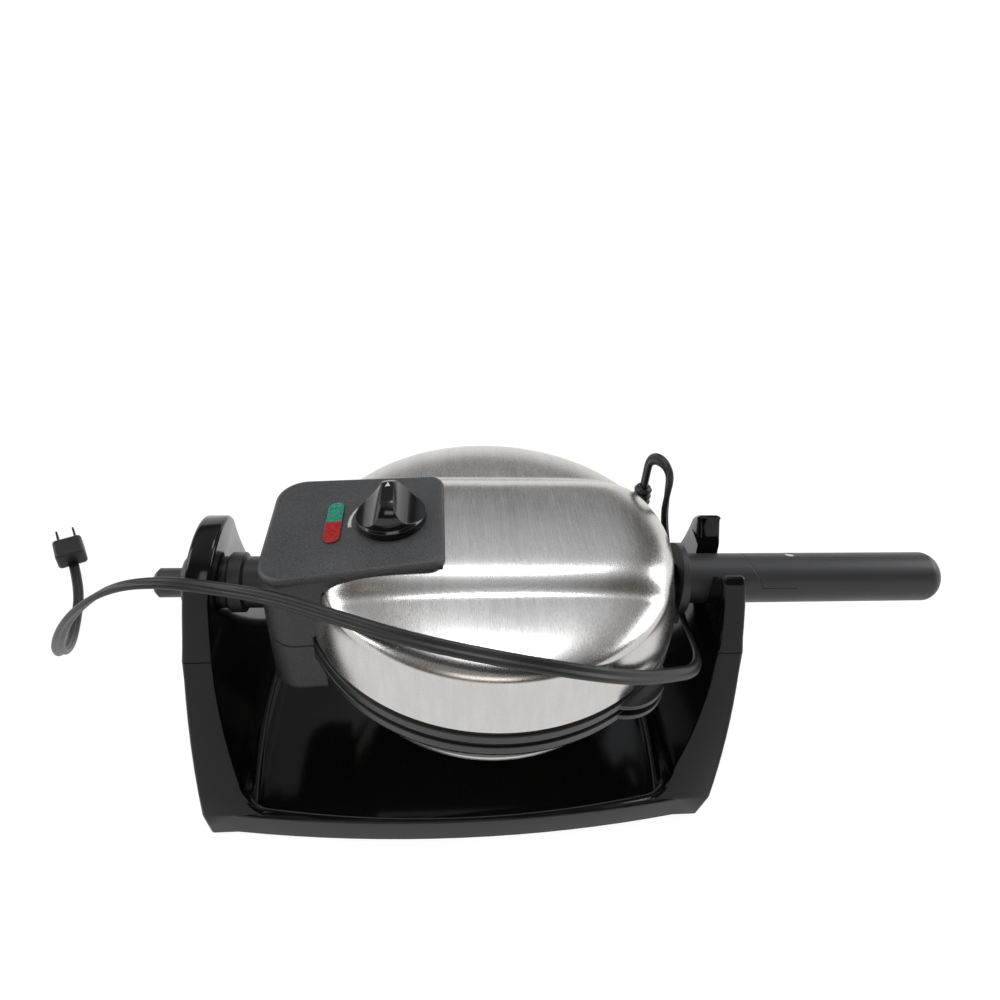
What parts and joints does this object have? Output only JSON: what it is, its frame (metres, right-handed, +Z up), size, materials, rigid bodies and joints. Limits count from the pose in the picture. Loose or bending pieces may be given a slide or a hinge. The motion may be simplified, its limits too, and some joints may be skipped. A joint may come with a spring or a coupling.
{
  "type": "rotary waffle maker",
  "caption": "Flip waffle maker: round steel grill on an axle between two posts of a black base, with a hinged lid, a dial and lights, a folding side handle and a cord.",
  "frame": {"origin": "centre of the footprint of the object without its cord, on the table", "axes": "+X along the axle towards the handle, -Y to the front, +Z up"},
  "size_m": [0.6426, 0.3046, 0.1931],
  "materials": {
    "base_black": "glossy black moulded plastic",
    "base_under": "plain black moulded plastic",
    "foot_rubber": "soft dark rubber",
    "screw_steel": "zinc plated steel",
    "cord_rubber": "black flexible cord sheath",
    "shell_steel": "brushed stainless steel, brushed front to back",
    "rim_black": "satin black heat resistant plastic",
    "grid_coat": "dark non-stick coating on cast aluminium",
    "heater_steel": "heat tinted tubular heater sheath",
    "reflector_metal": "bright aluminised sheet",
    "panel_grey": "fine textured dark grey plastic",
    "pin_steel": "plain ground steel",
    "handle_black": "satin black plastic",
    "lens_green": "translucent green lens",
    "lens_red": "translucent red lens",
    "lamp_glass": "small neon lamp",
    "thermostat_case": "brown phenolic case with a metal stem",
    "knob_black": "glossy black plastic with a white pointer mark"
  },
  "bodies": {
    "base": {"base_shell": "base_black", "base_bottom_plate": "base_under", "rubber_feet": "foot_rubber", "base_screws": "screw_steel", "power_cord": "cord_rubber", "power_plug": "cord_rubber"},
    "grill": {"lower_steel_shell": "shell_steel", "lower_rim": "rim_black", "lower_grid": "grid_coat", "lower_heater": "heater_steel", "lower_reflector": "reflector_metal", "lower_hinge_housing": "panel_grey", "hinge_bracket": "rim_black", "hinge_pin": "pin_steel", "pivot_shaft": "handle_black", "shaft_end_cap": "handle_black", "handle_collar": "handle_black", "handle_stub": "handle_black", "fold_pin": "pin_steel", "strain_relief": "cord_rubber"},
    "lid": {"lid_steel_shell": "shell_steel", "lid_rim": "rim_black", "upper_grid": "grid_coat", "upper_heater": "heater_steel", "upper_reflector": "reflector_metal", "control_housing": "panel_grey", "ready_light_lens": "lens_green", "power_light_lens": "lens_red", "indicator_lamps": "lamp_glass", "thermostat": "thermostat_case", "thermal_fuse": "pin_steel"},
    "knob": {"control_knob": "knob_black"},
    "handle": {"handle_grip": "handle_black", "handle_end_cap": "handle_black"}
  },
  "joints": [
    {"name": "grill_flip", "type": "hinge", "parent": "base", "child": "grill", "pos_m": [-0.04465, 0, 0.127], "axis": [-1, 0, 0], "range_deg": [0, 360], "deforming": ["power_cord"]},
    {"name": "lid_hinge", "type": "hinge", "parent": "grill", "child": "lid", "pos_m": [-0.16165, 0, 0.156], "axis": [0, -1, 0], "range_deg": [0, 95], "deforming": ["power_cord"]},
    {"name": "knob_turn", "type": "hinge", "parent": "lid", "child": "knob", "pos_m": [-0.10295, 0, 0.1739], "axis": [-0.0958, 0, 0.9954], "range_deg": [-200, 70]},
    {"name": "handle_fold", "type": "hinge", "parent": "grill", "child": "handle", "pos_m": [0.13995, 0.0058, 0.127], "axis": [0, 0, 1], "range_deg": [0, 90]}
  ]
}
